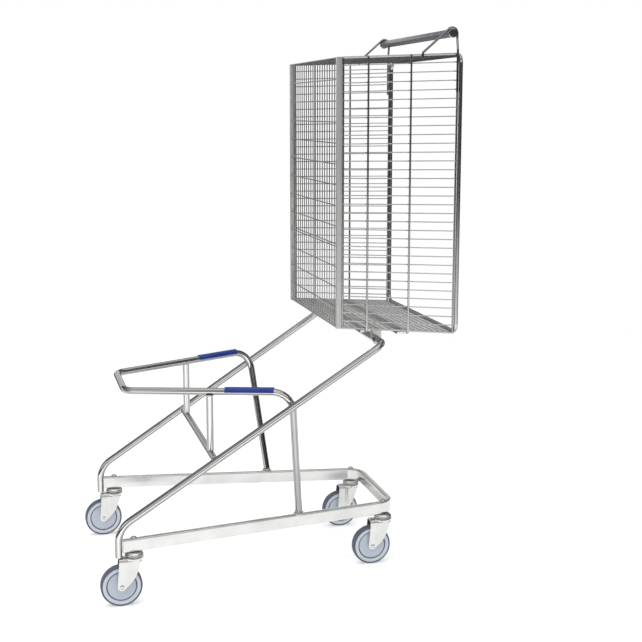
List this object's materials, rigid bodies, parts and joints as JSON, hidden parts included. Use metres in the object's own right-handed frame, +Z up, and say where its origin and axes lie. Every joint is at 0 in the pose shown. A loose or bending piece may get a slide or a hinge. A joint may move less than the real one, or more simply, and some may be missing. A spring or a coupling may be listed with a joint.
{
  "type": "nestable cage trolley",
  "caption": "Wheeled tube-frame trolley on swivel casters with a tall open-backed wire cage, a low padded carrier loop and a push grip above the cage.",
  "frame": {"origin": "centre of the footprint, on the floor", "axes": "+Z up; -Y is the front, where the wide open end of the base points; +Y is the rear, with the grip and the open side of the cage; +X is the side on the right hand of someone who looks along +Y"},
  "size_m": [0.7058, 1.1134, 1.7005],
  "materials": {
    "zinc": "bright zinc plate",
    "tube": "bright chrome-plated tube",
    "wire": "bright plated wire, slightly darker than the tubes",
    "pad": "smooth blue plastic",
    "grip": "satin grey plastic",
    "cap": "bright plated end cap",
    "tyre": "matt slate grey rubber",
    "rim": "satin pale blue-grey plastic"
  },
  "bodies": {
    "frame": {"base_frame": "zinc", "cage_floor": "wire", "cage_front": "wire", "cage_hoop_front": "wire", "cage_hoop_rear": "wire", "cage_post_left": "wire", "cage_post_right": "wire", "cage_rear_frame": "wire", "cage_roof": "wire", "cage_saddle_left": "zinc", "cage_saddle_right": "zinc", "cage_side_left": "wire", "cage_side_right": "wire", "carrier_loop": "tube", "dome_nut_front_left": "tube", "dome_nut_front_right": "tube", "dome_nut_rear_left": "tube", "dome_nut_rear_right": "tube", "floor_support_front": "zinc", "floor_support_rear": "zinc", "grip_bracket_left": "tube", "grip_bracket_right": "tube", "grip_cap_left": "cap", "grip_cap_right": "cap", "grip_core": "tube", "grip_sleeve": "grip", "loop_foot_left": "tube", "loop_foot_right": "tube", "loop_pad_left": "pad", "loop_pad_right": "pad", "loop_post_left": "tube", "loop_post_right": "tube", "lower_crossbar": "tube", "main_tube_left": "tube", "main_tube_right": "tube", "race_front_left": "zinc", "race_front_right": "zinc", "race_rear_left": "zinc", "race_rear_right": "zinc", "stem_front_left": "zinc", "stem_front_right": "zinc", "stem_rear_left": "zinc", "stem_rear_right": "zinc"},
    "caster_front_left": {"fork_front_left": "zinc", "axle_front_left": "tube"},
    "wheel_front_left": {"rim_front_left": "rim", "tyre_front_left": "tyre"},
    "caster_front_right": {"fork_front_right": "zinc", "axle_front_right": "tube"},
    "wheel_front_right": {"rim_front_right": "rim", "tyre_front_right": "tyre"},
    "caster_rear_left": {"fork_rear_left": "zinc", "axle_rear_left": "tube"},
    "wheel_rear_left": {"rim_rear_left": "rim", "tyre_rear_left": "tyre"},
    "caster_rear_right": {"fork_rear_right": "zinc", "axle_rear_right": "tube"},
    "wheel_rear_right": {"rim_rear_right": "rim", "tyre_rear_right": "tyre"}
  },
  "joints": [
    {"name": "swivel_front_left", "type": "hinge", "parent": "frame", "child": "caster_front_left", "pos_m": [-0.312, -0.45425, 0.148], "axis": [0, 0, 1], "continuous": true},
    {"name": "spin_front_left", "type": "hinge", "parent": "caster_front_left", "child": "wheel_front_left", "pos_m": [-0.312, -0.49425, 0.0625], "axis": [1, 0, 0], "continuous": true},
    {"name": "swivel_front_right", "type": "hinge", "parent": "frame", "child": "caster_front_right", "pos_m": [0.312, -0.45425, 0.148], "axis": [0, 0, 1], "continuous": true},
    {"name": "spin_front_right", "type": "hinge", "parent": "caster_front_right", "child": "wheel_front_right", "pos_m": [0.312, -0.49425, 0.0625], "axis": [1, 0, 0], "continuous": true},
    {"name": "swivel_rear_left", "type": "hinge", "parent": "frame", "child": "caster_rear_left", "pos_m": [-0.184, 0.36575, 0.148], "axis": [0, 0, 1], "continuous": true},
    {"name": "spin_rear_left", "type": "hinge", "parent": "caster_rear_left", "child": "wheel_rear_left", "pos_m": [-0.184, 0.32575, 0.0625], "axis": [1, 0, 0], "continuous": true},
    {"name": "swivel_rear_right", "type": "hinge", "parent": "frame", "child": "caster_rear_right", "pos_m": [0.184, 0.36575, 0.148], "axis": [0, 0, 1], "continuous": true},
    {"name": "spin_rear_right", "type": "hinge", "parent": "caster_rear_right", "child": "wheel_rear_right", "pos_m": [0.184, 0.32575, 0.0625], "axis": [1, 0, 0], "continuous": true}
  ]
}
